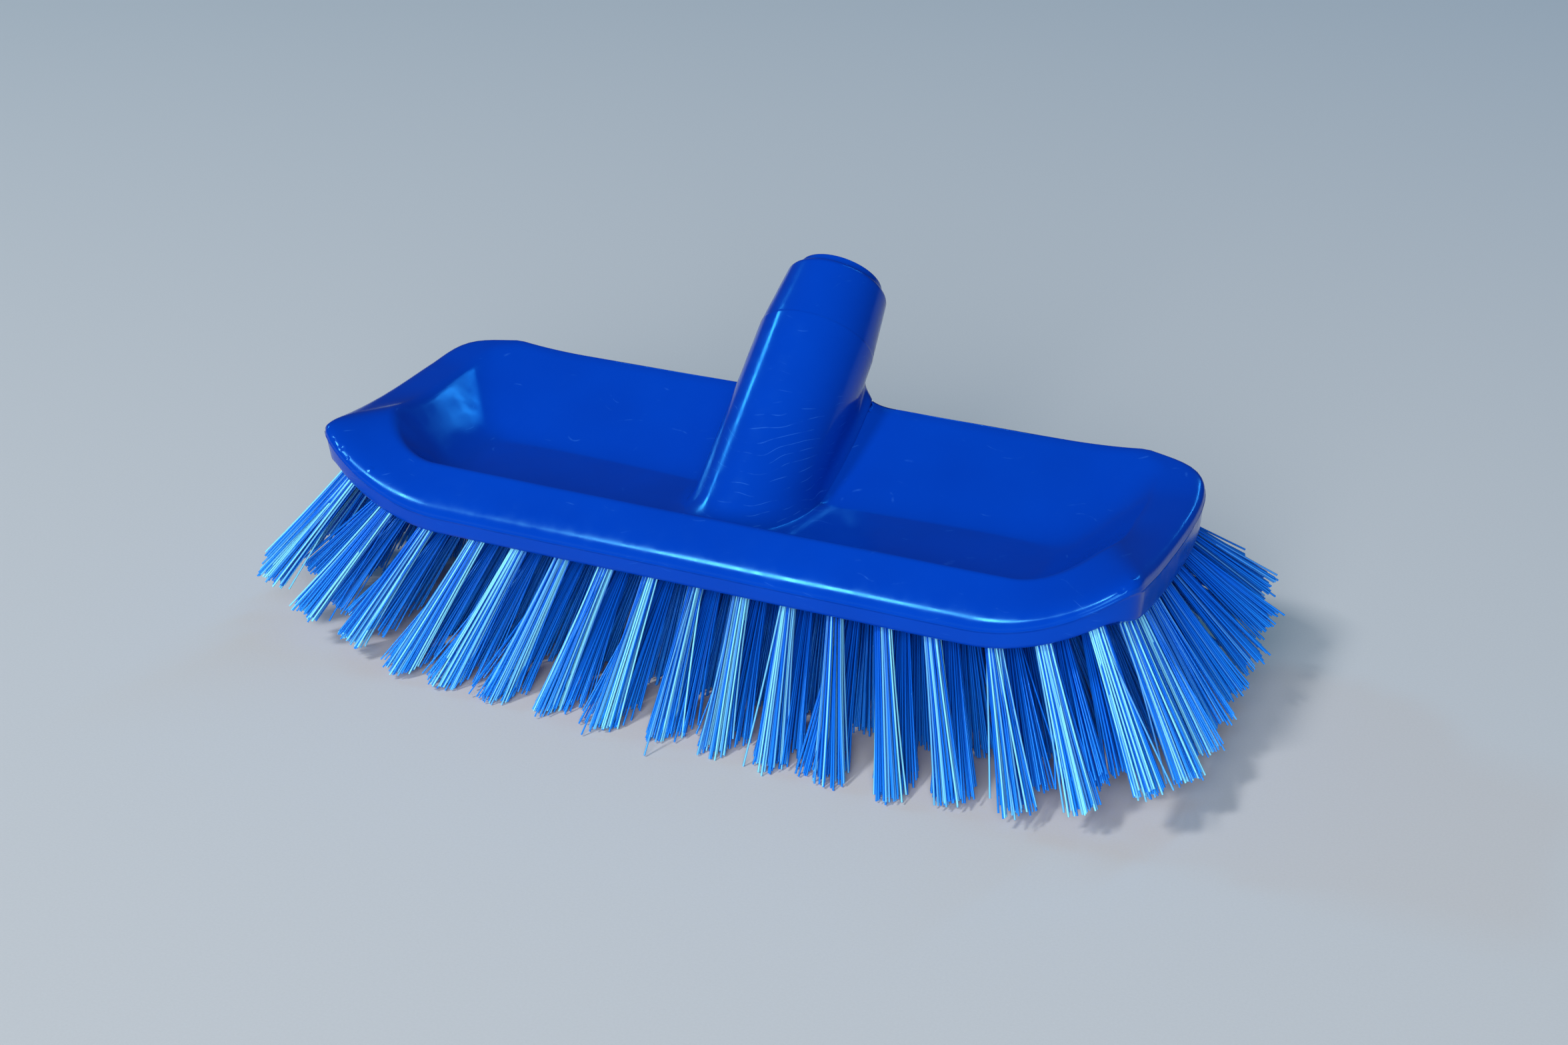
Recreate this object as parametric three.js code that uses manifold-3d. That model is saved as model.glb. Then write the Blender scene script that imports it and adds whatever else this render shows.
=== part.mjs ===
// Floor scrub brush head: a one-piece moulded block with a dished top and a slanted handle socket, rows of
// flared bristle tufts in its underside, and the steel staples that hold the outer row.
// Millimetres and degrees. x runs along the block, +y is the handle side, z is up from the floor.
import * as THREE from 'three';
import { mergeGeometries, mergeVertices } from 'three/addons/utils/BufferGeometryUtils.js';
import Module from 'manifold-3d';

const wasm = await Module();
wasm.setup();

// Plan of the rim
const blockLength = 264;
const blockDepth = 91;
const frontCornerReach = 46;
const frontCornerDepth = 13;
const backCornerReach = 14;
const backCornerDepth = 36;

// Heights above the flat of the underside
const footFrontHeight = 3;
const footEndHeight = 12;
const footCornerRise = 16.7;
const footEndSag = 6;
const rimFrontHeight = 11.6;
const rimEndHeight = 25.7;
const rimCornerRise = 17.6;
const rimEndSag = 3.9;
const trayFloorHeight = 12;

// Rim, flange and tray
const wallDraft = 0.8;
const rimRadius = 1.8;
const flangeFrontWidth = 12.6;
const flangeEndWidth = 13;
const flangeBackWidth = 2.6;
const flangeFrontRise = 9;
const flangeEndRise = 0.4;
const trayFrontRun = 7;
const trayEndRun = 27;
const trayBackRun = 33;
const trayCornerReach = 24;
const trayCornerDepth = 20;
const trayFloorCorner = 12;
const scoopCurve = 1.25;

// Width of the rising band round the flat of the underside
const frontBand = 12.6;
const endBand = 41;
const backBand = 33;
const bandCurve = 1.4;

// Handle socket
const socketTilt = 39.6;
const socketDiameter = 37.5;
const collarDiameter = 36.4;
const collarLength = 22;
const mouthDiameter = 33.4;
const mouthRound = 2.6;
const lipDiameter = 27.5;
const lipHeight = 1.2;
const socketFoot = 1;
const socketLength = 80;
const boreDiameter = 22.4;
const boreDepth = 46;

// Bristles
const bristleLength = 37;
const tuftLength = 46;
const tuftDiameter = 5;
const tuftSpread = 9.6;
const strandWidth = 2.2;
const strandSides = 3;
const strandsPerTuft = 3;
const fanAlong = 0.0058;
const fanAcross = 0.0122;
const firstRowInset = 5;
const tuftMargin = 1.2;
const backingThickness = 3;
const rootDepth = 1.3;

// Tufts along half of the straight middle, and round each end of the rows, from the outer row in
const columnsPerHalf = 6;
const cornerTufts = [3, 2, 1];
const endTufts = [8, 5, 3];
const backTufts = [2, 2, 1];

// Staples
const stapleLength = 6.4;
const stapleHeight = 2;
const stapleThickness = 0.6;
const stapleLift = 2;

// Clearances
const seatGap = 0.3;
const fitGap = 0.3;

// Facets
const straightSteps = 3;
const cornerSteps = 7;
const socketSides = 40;
const scoopShares = [0.3, 0.6, 0.85];
const leastCorner = 2;
const weldDistance = 1e-4;

const soleHeight = bristleLength;
const rimPlan = {
  halfLength: blockLength / 2,
  front: -blockDepth / 2,
  back: blockDepth / 2,
  frontCorner: [frontCornerReach, frontCornerDepth],
  backCorner: [backCornerReach, backCornerDepth],
};
const straightHalf = rimPlan.halfLength - frontCornerReach;

// A plan drawn in by its own amount at the front, the ends and the back, with corners no tighter than least.
function drawnIn(plan, front, end, back, least) {
  const [frontReach, frontDepth] = plan.frontCorner;
  const [backReach, backDepth] = plan.backCorner;
  return {
    halfLength: plan.halfLength - end,
    front: plan.front + front,
    back: plan.back - back,
    frontCorner: [Math.max(frontReach - end, least), Math.max(frontDepth - front, least)],
    backCorner: [Math.max(backReach - end, least), Math.max(backDepth - back, least)],
  };
}

// The right half of a plan as five curves, from the front middle round to the back middle.
function halfCurves(plan) {
  const [frontReach, frontDepth] = plan.frontCorner;
  const [backReach, backDepth] = plan.backCorner;
  const { halfLength, front, back } = plan;
  const frontX = halfLength - frontReach;
  const frontY = front + frontDepth;
  const backX = halfLength - backReach;
  const backY = back - backDepth;
  const point = (x, y) => new THREE.Vector2(x, y);
  return [
    new THREE.LineCurve(point(0, front), point(frontX, front)),
    new THREE.EllipseCurve(frontX, frontY, frontReach, frontDepth, -Math.PI / 2, 0),
    new THREE.LineCurve(point(halfLength, frontY), point(halfLength, backY)),
    new THREE.EllipseCurve(backX, backY, backReach, backDepth, 0, Math.PI / 2),
    new THREE.LineCurve(point(backX, back), point(0, back)),
  ];
}

// Every plan is sampled with the same number of points, so that any two of them can be joined by a skin.
function planPoints(plan) {
  const right = [];
  for (const curve of halfCurves(plan)) {
    const steps = curve instanceof THREE.EllipseCurve ? cornerSteps : straightSteps;
    right.push(...curve.getPoints(steps).slice(0, -1));
  }
  const backMiddle = new THREE.Vector2(0, plan.back);
  const left = right.slice(1).reverse().map((p) => new THREE.Vector2(-p.x, p.y));
  return [...right, backMiddle, ...left];
}

// Height of an edge that is low along the front, climbs round the front corners and sags along the ends.
function edgeHeight(p, frontHeight, cornerRise, endHeight, endSag) {
  const along = Math.max(0, Math.abs(p.x) - straightHalf) / frontCornerReach;
  const across = p.y / (blockDepth / 2);
  const atFront = frontHeight + cornerRise * along ** 2;
  const atEnd = endHeight + endSag * across ** 2;
  return soleHeight + (p.y < 0 ? Math.min(atFront, atEnd) : atEnd);
}

const rimPoints = planPoints(rimPlan);
const rimHeights = rimPoints.map((p) => (
  edgeHeight(p, rimFrontHeight, rimCornerRise, rimEndHeight, rimEndSag)
));
const footHeights = rimPoints.map((p) => (
  edgeHeight(p, footFrontHeight, footCornerRise, footEndHeight, footEndSag)
));

// How much of a rim point belongs to the end of the block: 0 along the front and back, 1 at the end.
const endShares = rimPoints.map((p) => (
  THREE.MathUtils.smoothstep(Math.abs(p.x), straightHalf, rimPlan.halfLength)
));

function ringAt(plan, height) {
  return planPoints(plan).map((p, i) => new THREE.Vector3(p.x, p.y, height(i, p)));
}

// The underside at an inset from the rim: flat in the middle, rising to the foot of the wall.
function undersideRing(inset, lift) {
  const plan = drawnIn(rimPlan, inset, inset, inset, leastCorner);
  return ringAt(plan, (i) => {
    const sideBand = rimPoints[i].y < 0 ? frontBand : backBand;
    const band = THREE.MathUtils.lerp(sideBand, endBand, endShares[i]);
    const climb = Math.max(0, 1 - inset / band) ** bandCurve;
    return THREE.MathUtils.lerp(soleHeight, footHeights[i], climb) + lift;
  });
}

// A closed skin through rings of equal length, from the outside of one cap to the other.
function skin(rings) {
  const count = rings[0].length;
  const points = rings.flat();
  const last = (rings.length - 1) * count;
  const faces = [];
  for (let low = 0; low < last; low += count) {
    const high = low + count;
    for (let i = 0; i < count; i += 1) {
      const next = (i + 1) % count;
      faces.push(low + i, low + next, high + next, low + i, high + next, high + i);
    }
  }
  for (let i = 1; i < count - 1; i += 1) {
    faces.push(0, i + 1, i, last, last + i, last + i + 1);
  }
  const geometry = new THREE.BufferGeometry();
  const places = points.flatMap((p) => p.toArray());
  geometry.setAttribute('position', new THREE.Float32BufferAttribute(places, 3));
  geometry.setIndex(faces);
  return geometry;
}

function solid(geometry) {
  const bare = geometry.clone();
  bare.deleteAttribute('normal');
  bare.deleteAttribute('uv');
  const merged = mergeVertices(bare, weldDistance);
  const vertProperties = new Float32Array(merged.attributes.position.array);
  const triVerts = new Uint32Array(merged.index.array);
  return new wasm.Manifold(new wasm.Mesh({ numProp: 3, vertProperties, triVerts }));
}

function geometryOf(manifold) {
  const { vertProperties, triVerts } = manifold.getMesh();
  const indexed = new THREE.BufferGeometry();
  indexed.setAttribute('position', new THREE.BufferAttribute(new Float32Array(vertProperties), 3));
  indexed.setIndex(new THREE.BufferAttribute(new Uint32Array(triVerts), 1));
  const geometry = indexed.toNonIndexed();
  geometry.computeVertexNormals();
  return geometry;
}

function bareGeometry(geometry, matrix) {
  const bare = geometry.index ? geometry.toNonIndexed() : geometry.clone();
  bare.deleteAttribute('normal');
  bare.deleteAttribute('uv');
  return matrix ? bare.applyMatrix4(matrix) : bare;
}

// Rows of tufts, from the outside in to one row along the middle, and the insets half way between them.
const lastRow = endTufts.length;
const rowPitch = (blockDepth / 2 - firstRowInset) / lastRow;
const rowInsets = Array.from({ length: lastRow + 1 }, (unused, row) => firstRowInset + row * rowPitch);
const lipWidth = firstRowInset - tuftDiameter / 2 - tuftMargin;
const rowEdges = rowInsets.slice(0, lastRow).map((inset) => inset + rowPitch / 2);

// How far the middle of a rounded edge lies in from each of the two faces that it joins.
function roundMiddle(radius) {
  return radius * (1 - Math.SQRT1_2);
}

// The moulded block before the socket and the seats of the bristles are cut.
function blockSkin() {
  const rimMiddle = roundMiddle(rimRadius);
  const draft = drawnIn(rimPlan, wallDraft, wallDraft, wallDraft, rimRadius);
  const shoulder = drawnIn(rimPlan, rimMiddle, rimMiddle, rimMiddle, rimRadius);
  const crown = drawnIn(rimPlan, rimRadius, rimRadius, rimRadius, rimRadius);
  const edge = drawnIn(rimPlan, flangeFrontWidth, flangeEndWidth, flangeBackWidth, trayFloorCorner);
  edge.frontCorner = [trayCornerReach, trayCornerDepth];
  const floor = drawnIn(edge, trayFrontRun, trayEndRun, trayBackRun, trayFloorCorner);
  const flangeRise = (i) => {
    const sideRise = rimPoints[i].y < 0 ? flangeFrontRise : 0;
    return THREE.MathUtils.lerp(sideRise, flangeEndRise, endShares[i]);
  };
  const edgeRing = ringAt(edge, (i) => rimHeights[i] + flangeRise(i));
  const floorRing = ringAt(floor, () => soleHeight + trayFloorHeight);
  const crownRise = rimRadius / flangeFrontWidth;
  const scoop = scoopShares.map((share) => edgeRing.map((p, i) => {
    const place = p.clone().lerp(floorRing[i], share);
    place.z = THREE.MathUtils.lerp(floorRing[i].z, p.z, (1 - share) ** scoopCurve);
    return place;
  }));
  return skin([
    ...rowEdges.toReversed().map((inset) => undersideRing(inset, 0)),
    ringAt(draft, (i) => footHeights[i]),
    ringAt(rimPlan, (i) => rimHeights[i] - rimRadius),
    ringAt(shoulder, (i) => rimHeights[i] - rimMiddle),
    ringAt(crown, (i) => rimHeights[i] + flangeRise(i) * crownRise),
    edgeRing,
    ...scoop,
    floorRing,
  ]);
}

// The recess in the underside that takes the backing of the bristles.
function recessSkin() {
  const lift = backingThickness + seatGap;
  const top = [lipWidth, ...rowEdges].map((inset) => undersideRing(inset, lift));
  const opening = top[0].map((p) => p.clone().setZ(0));
  return skin([opening, ...top]);
}

// The backing of the bristles: a slice of the underside that follows it all over.
function backingSkin() {
  const insets = [lipWidth + seatGap, ...rowEdges];
  return skin([
    ...insets.toReversed().map((inset) => undersideRing(inset, 0)),
    ...insets.map((inset) => undersideRing(inset, backingThickness)),
  ]);
}

// Socket: turned about its own axis, which leans back over the rim from the tray.
const tilt = THREE.MathUtils.degToRad(socketTilt);
const socketAxis = new THREE.Vector3(0, Math.cos(tilt), Math.sin(tilt));
const mouthCentre = new THREE.Vector3(0, socketFoot, soleHeight + trayFloorHeight)
  .addScaledVector(socketAxis, socketLength);
const socketPlace = new THREE.Matrix4().compose(
  mouthCentre,
  new THREE.Quaternion().setFromUnitVectors(new THREE.Vector3(0, 1, 0), socketAxis),
  new THREE.Vector3(1, 1, 1),
);

function turned(profile) {
  const points = profile.map(([radius, height]) => new THREE.Vector2(radius, height));
  return bareGeometry(new THREE.LatheGeometry(points, socketSides), socketPlace);
}

// The rounded mouth leaves a narrow ledge round the lip.
function socketSolid() {
  const mouth = mouthDiameter / 2;
  const lip = lipDiameter / 2;
  const round = Math.min(mouthRound, mouth - lip - fitGap);
  const outside = solid(turned([
    [0, -socketLength - socketDiameter],
    [socketDiameter / 2, -socketLength - socketDiameter],
    [socketDiameter / 2, -collarLength - lipHeight],
    [collarDiameter / 2, -collarLength - lipHeight],
    [mouth, -round - lipHeight],
    [mouth - roundMiddle(round), -roundMiddle(round) - lipHeight],
    [mouth - round, -lipHeight],
    [lip, -lipHeight],
    [lip, 0],
    [0, 0],
  ]));
  const buried = soleHeight + trayFloorHeight - backingThickness;
  const size = blockLength;
  const keep = new THREE.BoxGeometry(size, size, size).translate(0, 0, buried + size / 2);
  return outside.intersect(solid(keep));
}

function boreSolid() {
  return solid(turned([
    [0, -boreDepth],
    [boreDiameter / 2, -boreDepth],
    [boreDiameter / 2, lipHeight],
    [0, lipHeight],
  ]));
}

// Tufts: the place of each on the underside, and the way it leans.
const underside = new THREE.Mesh(blockSkin(), new THREE.MeshBasicMaterial({ side: THREE.DoubleSide }));
const probe = new THREE.Raycaster();

function tuftAt(x, y, row) {
  probe.set(new THREE.Vector3(x, y, 0), new THREE.Vector3(0, 0, 1));
  const root = probe.intersectObject(underside)[0].point;
  const lean = new THREE.Vector3(fanAlong * x, fanAcross * y, -1).normalize();
  const side = new THREE.Vector3(0, 0, 1).cross(lean);
  if (side.length() < weldDistance) side.set(1, 0, 0);
  side.normalize();
  const away = new THREE.Vector3().crossVectors(lean, side);
  return { root, lean, side, away, row };
}

// The straight middle has the same columns in every row. The last one stands three quarters of the pitch inside
// the straight part.
const columnPitch = straightHalf / (columnsPerHalf - 0.25);
const columnPlaces = Array.from({ length: columnsPerHalf }, (unused, i) => i * columnPitch)
  .flatMap((x) => (x === 0 ? [x] : [x, -x]));

function evenly(curves, count) {
  const path = new THREE.CurvePath();
  curves.forEach((curve) => path.add(curve));
  return Array.from({ length: count }, (unused, i) => path.getPointAt((i + 0.5) / count));
}

// The tufts of a row round the right end: along the front corner, the end and its back corner, and the back.
function endPlaces(plan, row) {
  const [, frontCorner, end, backCorner] = halfCurves(plan);
  const backStart = backCorner.getPoint(1);
  const backRun = new THREE.LineCurve(backStart, new THREE.Vector2(straightHalf, plan.back));
  return [
    ...evenly([frontCorner], cornerTufts[row]),
    ...evenly([end, backCorner], endTufts[row]),
    ...evenly([backRun], backTufts[row]),
  ];
}

// The bristles come in four groups, each on its own piece of the backing. The middle row is in the front one.
const groups = { front: [], back: [], left_end: [], right_end: [] };
rowInsets.forEach((inset, row) => {
  const plan = drawnIn(rimPlan, inset, inset, inset, leastCorner);
  groups.front.push(...columnPlaces.map((x) => tuftAt(x, plan.front, row)));
  if (row === lastRow) return;
  groups.back.push(...columnPlaces.map((x) => tuftAt(x, plan.back, row)));
  const places = endPlaces(plan, row);
  groups.left_end.push(...places.map((p) => tuftAt(-p.x, p.y, row)));
  groups.right_end.push(...places.map((p) => tuftAt(p.x, p.y, row)));
});

// Plan limits of each group's piece of the backing, which runs well past the block on its outer sides.
const split = rowPitch / 2;
const groupLimits = {
  front: [[-straightHalf, straightHalf], [-blockLength, split]],
  back: [[-straightHalf, straightHalf], [split, blockLength]],
  left_end: [[-blockLength, -straightHalf], [-blockLength, blockLength]],
  right_end: [[straightHalf, blockLength], [-blockLength, blockLength]],
};

function backingPiece(group) {
  const [[left, right], [front, back]] = groupLimits[group];
  const box = new THREE.BoxGeometry(right - left - seatGap, back - front - seatGap, blockLength);
  box.translate((left + right) / 2, (front + back) / 2, 0);
  return solid(backingSkin()).intersect(solid(box));
}

// A prism whose two ends are lists of matching corners.
function prism(low, high) {
  return bareGeometry(skin([low, high]));
}

// Directions evenly spaced round a full turn.
function turnsRound(count, first) {
  return Array.from({ length: count }, (unused, i) => first + (i / count) * 2 * Math.PI);
}

// One strand stands for a bundle of bristles. It is cut flat where it meets the floor.
function strand(tuft, angle) {
  const { root, lean, side, away } = tuft;
  const out = side.clone().multiplyScalar(Math.cos(angle)).addScaledVector(away, Math.sin(angle));
  const foot = root.clone().addScaledVector(out, tuftDiameter / 2 - strandWidth / 2);
  const tip = root.clone().addScaledVector(lean, tuftLength).addScaledVector(out, tuftSpread / 2);
  const along = tip.clone().sub(foot).normalize();
  foot.addScaledVector(along, -rootDepth);
  const low = turnsRound(strandSides, angle).map((turn) => foot.clone()
    .addScaledVector(side, Math.cos(turn) * strandWidth / 2)
    .addScaledVector(away, Math.sin(turn) * strandWidth / 2));
  const length = tip.clone().sub(foot).length();
  const high = low.map((p) => {
    const toFloor = p.z / -along.z;
    return p.clone().addScaledVector(along, Math.min(length, toFloor));
  });
  for (const p of high) p.z = Math.max(p.z, 0);
  return prism(low, high);
}

function placedIn(tuft, depth) {
  const inward = tuft.lean.clone().negate();
  const across = tuft.away.clone().negate();
  const basis = new THREE.Matrix4().makeBasis(tuft.side, across, inward);
  return basis.setPosition(tuft.root.clone().addScaledVector(inward, depth));
}

// A staple stands just above the backing slice, bitten into the block, in a slot that opens on the slice.
const stapleDepth = backingThickness + seatGap + stapleLift + stapleHeight / 2;

function stapleSlot(tuft) {
  const width = stapleLength + 2 * fitGap;
  const thickness = stapleThickness + 2 * fitGap;
  const top = stapleDepth + stapleHeight / 2 + fitGap;
  const slot = new THREE.BoxGeometry(width, thickness, top - rootDepth);
  return bareGeometry(slot, placedIn(tuft, (top + rootDepth) / 2));
}

// Materials
const blockPlastic = new THREE.MeshStandardMaterial({ color: 0x043fbd, roughness: 0.32, metalness: 0 });
const bristlePlastic = new THREE.MeshStandardMaterial({ color: 0x2a8deb, roughness: 0.3, metalness: 0 });
const stapleSteel = new THREE.MeshStandardMaterial({ color: 0xa9adb1, roughness: 0.3, metalness: 1 });

const brush = new THREE.Group();
brush.name = 'floor_scrub_brush';

function addPiece(name, geometry, material) {
  const mesh = new THREE.Mesh(geometry, material);
  mesh.name = name;
  brush.add(mesh);
  return mesh;
}

const tufts = Object.values(groups).flat();
const outerRow = tufts.filter((tuft) => tuft.row === 0);

const block = solid(blockSkin())
  .add(socketSolid())
  .subtract(boreSolid())
  .subtract(solid(recessSkin()))
  .subtract(solid(mergeGeometries(outerRow.map(stapleSlot))));
addPiece('brush_block', geometryOf(block), blockPlastic);

const strandAngles = turnsRound(strandsPerTuft, Math.PI / 2);
for (const [group, groupTufts] of Object.entries(groups)) {
  const strands = groupTufts.flatMap((tuft) => strandAngles.map((angle) => strand(tuft, angle)));
  const bristles = backingPiece(group).add(solid(mergeGeometries(strands)));
  addPiece(`${group}_bristles`, geometryOf(bristles), bristlePlastic);
}

outerRow.forEach((tuft, i) => {
  const staple = new THREE.BoxGeometry(stapleLength, stapleThickness, stapleHeight);
  const number = String(i + 1).padStart(2, '0');
  addPiece(`tuft_staple_${number}`, staple.applyMatrix4(placedIn(tuft, stapleDepth)), stapleSteel);
});

// The origin is on the floor, under the middle of the whole brush head.
const bounds = new THREE.Box3().setFromObject(brush);
const floorCentre = bounds.getCenter(new THREE.Vector3()).setZ(bounds.min.z);
brush.children.forEach((mesh) => mesh.position.sub(floorCentre));

const listed = (v, digits) => v.toArray().map((n) => n.toFixed(digits)).join(', ');
console.log('tufts', tufts.length, 'strands', tufts.length * strandsPerTuft, 'staples', outerRow.length);
console.log('size', listed(bounds.getSize(new THREE.Vector3()), 2));
console.log('mouth', listed(mouthCentre.clone().sub(floorCentre), 3));

export default brush;
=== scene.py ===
import math

import bmesh
import bpy
import numpy as np
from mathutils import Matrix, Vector, noise
from mathutils.bvhtree import BVHTree


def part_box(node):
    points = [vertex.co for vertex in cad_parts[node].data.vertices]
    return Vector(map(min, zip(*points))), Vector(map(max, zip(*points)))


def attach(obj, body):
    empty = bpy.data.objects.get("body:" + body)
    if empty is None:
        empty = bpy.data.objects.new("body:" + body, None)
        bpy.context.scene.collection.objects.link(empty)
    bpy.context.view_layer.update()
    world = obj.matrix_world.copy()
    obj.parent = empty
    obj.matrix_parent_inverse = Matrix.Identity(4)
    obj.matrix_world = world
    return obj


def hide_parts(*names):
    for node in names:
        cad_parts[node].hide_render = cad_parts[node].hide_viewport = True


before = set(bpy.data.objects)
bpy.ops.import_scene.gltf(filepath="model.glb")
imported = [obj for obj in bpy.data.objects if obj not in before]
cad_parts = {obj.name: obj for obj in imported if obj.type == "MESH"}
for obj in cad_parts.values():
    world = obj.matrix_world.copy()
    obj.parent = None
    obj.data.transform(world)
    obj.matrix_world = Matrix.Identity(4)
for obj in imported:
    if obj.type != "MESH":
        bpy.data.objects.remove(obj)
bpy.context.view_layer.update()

mm = 0.001
blockLow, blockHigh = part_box("brush_block")
print("frame loaded,", len(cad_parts), "nodes")


# sRGB hex to the linear colour that shaders take
def hexColor(text):
    parts = [int(text[i:i + 2], 16) / 255 for i in (1, 3, 5)]
    return [c / 12.92 if c <= 0.04045 else ((c + 0.055) / 1.055) ** 2.4 for c in parts] + [1.0]


# one node with its properties, its input values and its links
def addNode(tree, kind, props=None, inputs=None):
    node = tree.nodes.new(kind)
    for name, value in (props or {}).items():
        setattr(node, name, value)
    for name, value in (inputs or {}).items():
        if isinstance(name, int):
            entry = node.inputs[name]
        else:
            entry = next(s for s in node.inputs if s.name == name and s.enabled)
        if isinstance(value, bpy.types.NodeSocket):
            tree.links.new(value, entry)
        else:
            entry.default_value = value
    return node


def newMaterial(name):
    material = bpy.data.materials.new(name)
    material.use_nodes = True
    tree = material.node_tree
    tree.nodes.clear()
    return material, tree


def closeMaterial(tree, shader):
    addNode(tree, "ShaderNodeOutputMaterial", inputs={"Surface": shader.outputs[0]})


def newObject(name, mesh):
    piece = bpy.data.objects.new(name, mesh)
    bpy.context.scene.collection.objects.link(piece)
    return piece


# camera, fitted to the edges of the block in the photograph
cameraSet = {
    "target": (5.8, 5.68, 39.0),   # mm
    "distance": 738,               # mm
    "azimuth": 25.1,               # degrees, to the right of straight on
    "elevation": 25.0,
    "lens": 54.52,                 # mm on a 36 mm sensor
    "sensor": 36.0,
    "clipStart": 0.01,             # m
}


def makeCamera(c):
    data = bpy.data.cameras.new("photoCamera")
    data.lens = c["lens"]
    data.sensor_fit = "HORIZONTAL"
    data.sensor_width = c["sensor"]
    data.clip_start = c["clipStart"]
    a = math.radians(c["azimuth"])
    e = math.radians(c["elevation"])
    back = Vector((math.sin(a) * math.cos(e), -math.cos(a) * math.cos(e), math.sin(e)))
    camera = bpy.data.objects.new("photoCamera", data)
    camera.location = (Vector(c["target"]) + back * c["distance"]) * mm
    camera.rotation_euler = back.to_track_quat("Z", "Y").to_euler()
    bpy.context.scene.collection.objects.link(camera)
    bpy.context.scene.camera = camera


makeCamera(cameraSet)
print("camera set")


# moulded polypropylene: saturated colour, glossy skin with a fine orange peel, hairline scratches
blockFinish = {
    "color": "#0240b8",
    "deep": "#0238aa",
    "scuff": "#3f8cf0",
    "roughness": 0.18,
    "roughnessRange": (-0.05, 0.08),
    "roughnessPatch": (0.35, 0.7),      # values of the patch noise that give the range
    "ior": 1.49,
    "specular": 0.4,
    "sheenTint": "#58d0ff",         # the saturated skin gives its highlights a cold tint
    "peelSize": 0.9,                # mm between the bumps of the orange peel, drawn coarse so that it shows
    "peelHeight": 0.005,            # mm
    "bumpStrength": 0.6,
    "scratchGap": 2.4,              # mm between scratches, drawn wide enough to show
    "scratchWave": 14.0,
    "scratchBend": 0.4,             # scale of the waves against the gap
    "scratchFrom": 0.975,           # the crest of a band above this is a scratch
    "scratchPale": 0.22,
    "scratchDepth": 1.2,            # in orange peels
    "scratchPatch": (0.6, 0.75),    # values of the patch noise where scratches fade in
    "patchSize": 6.0,               # mm
    "rubbedAt": (10, -4, 62),       # mm, the foot of the socket, where the scratches lie closest
    "rubbedReach": (13.6, 34.0),    # mm, where they begin to thin out and where they end
    "rubbedMore": 0.16,             # added to the patch noise there
    "cloudSize": 30.0,              # mm, slow change of tone from the melt
    "markHeight": 0.25,             # mm
    # nicks and ejector dimples of the rim: place and radius in mm, up or down
    "marks": [
        ((128.6, -40.8, 62.6), 1.5, -1),
        ((130.4, -37.4, 64.9), 1.3, 1),
        ((-127.3, -41.9, 61.1), 1.2, -1),
        ((-123.4, -43.1, 59.7), 1.6, -1),
        ((-120.2, -44.5, 57.3), 0.9, -1),
        ((-111.9, -44.6, 55.2), 1.4, 1),
    ],
}


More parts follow.
